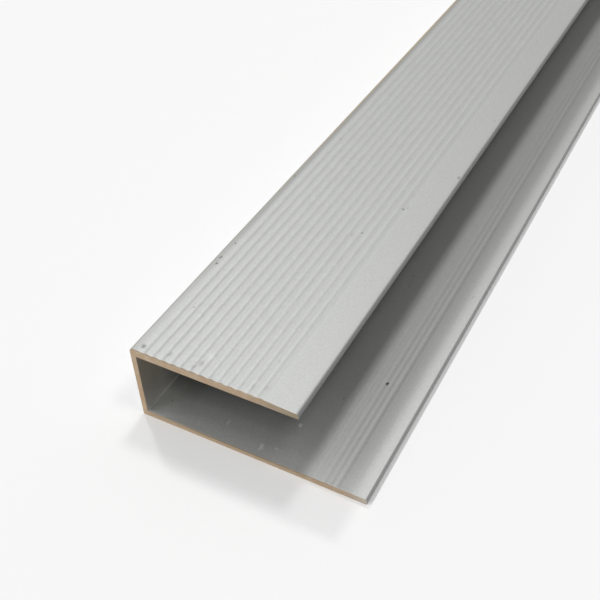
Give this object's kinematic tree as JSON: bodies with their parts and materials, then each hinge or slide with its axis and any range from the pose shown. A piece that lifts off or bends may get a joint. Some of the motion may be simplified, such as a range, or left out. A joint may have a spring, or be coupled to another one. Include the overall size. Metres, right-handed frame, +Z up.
{
  "type": "aluminium extrusion profile",
  "caption": "Straight length of silver anodised aluminium end profile: a ribbed top wall, a thin web and a wider flat bottom wall, open along one side to take the edge of a board.",
  "frame": {"origin": "centre of the bottom of the bounding box, on the underside of the bottom wall, halfway along the length", "axes": "+Y along the length of the stock, +Z up through the web from the bottom wall to the ribbed top wall, +X out of the open side, away from the web"},
  "size_m": [0.0266, 0.9, 0.01],
  "materials": {
    "anodised_aluminium": "satin, natural anodised, as extruded"
  },
  "bodies": {
    "root": {"end_profile": "anodised_aluminium"}
  },
  "joints": []
}
